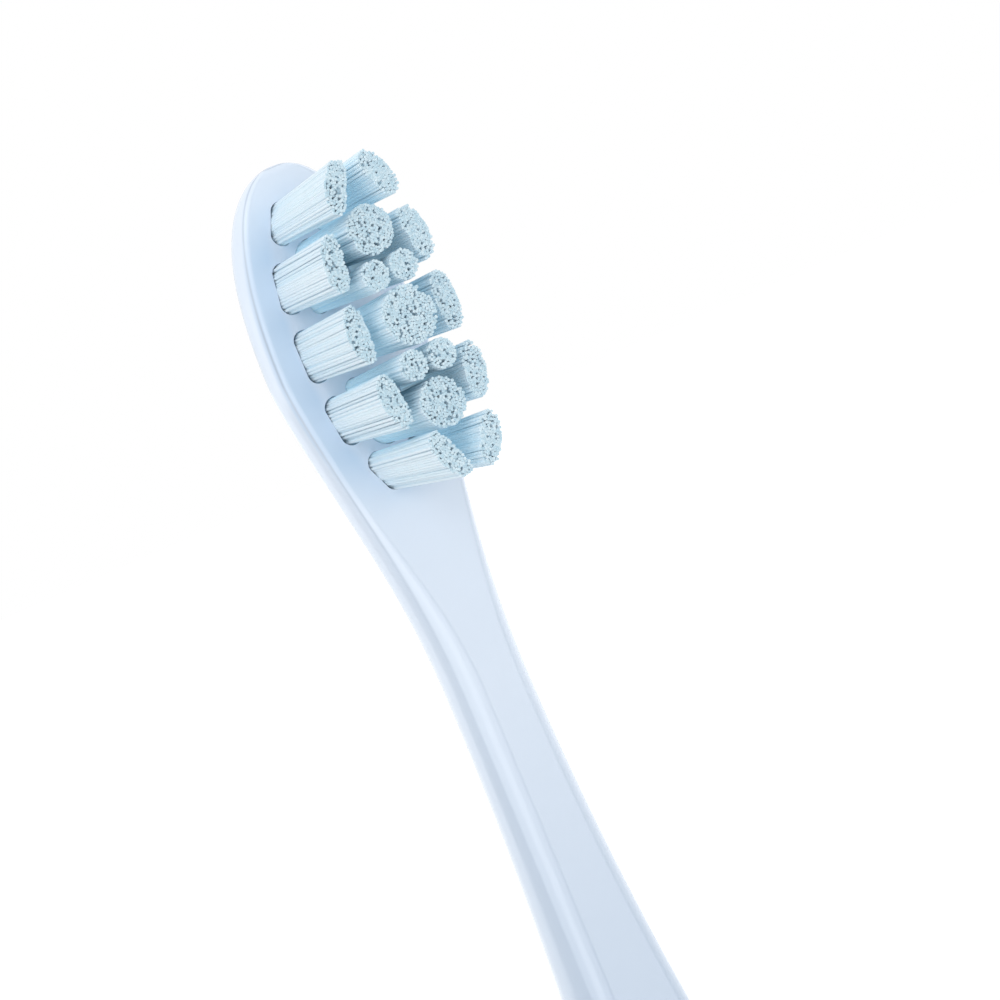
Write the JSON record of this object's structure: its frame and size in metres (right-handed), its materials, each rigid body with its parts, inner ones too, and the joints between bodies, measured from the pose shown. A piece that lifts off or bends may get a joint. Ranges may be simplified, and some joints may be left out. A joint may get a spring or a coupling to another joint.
{
  "type": "electric toothbrush head",
  "caption": "Push-on brush head for an electric toothbrush: oval head with flared bristle tufts, slim neck that widens to a round foot, and a keyed drive socket.",
  "frame": {"origin": "centre of the drive socket's mouth, in the plane of the foot", "axes": "+Z along the neck to the tip of the head, -Y the way the bristles point, X across the head"},
  "size_m": [0.0132, 0.0177, 0.0799],
  "materials": {
    "body_plastic": "satin-gloss moulded plastic, pale icy blue",
    "bristle_nylon": "fine translucent nylon filaments, pale aqua",
    "insert_plastic": "moulded engineering plastic, off-white",
    "spring_steel": "rolled stainless spring strip"
  },
  "bodies": {
    "root": {"brush_body": "body_plastic", "socket_insert": "insert_plastic", "spring_clip": "spring_steel", "tuft_left_1": "bristle_nylon", "tuft_left_2": "bristle_nylon", "tuft_left_3": "bristle_nylon", "tuft_left_4": "bristle_nylon", "tuft_left_5": "bristle_nylon", "tuft_right_1": "bristle_nylon", "tuft_right_2": "bristle_nylon", "tuft_right_3": "bristle_nylon", "tuft_right_4": "bristle_nylon", "tuft_right_5": "bristle_nylon", "tuft_small_tip_left": "bristle_nylon", "tuft_small_tip_right": "bristle_nylon", "tuft_small_heel_left": "bristle_nylon", "tuft_small_heel_right": "bristle_nylon", "tuft_tip_round": "bristle_nylon", "tuft_heel_round": "bristle_nylon", "tuft_centre": "bristle_nylon"}
  },
  "joints": []
}
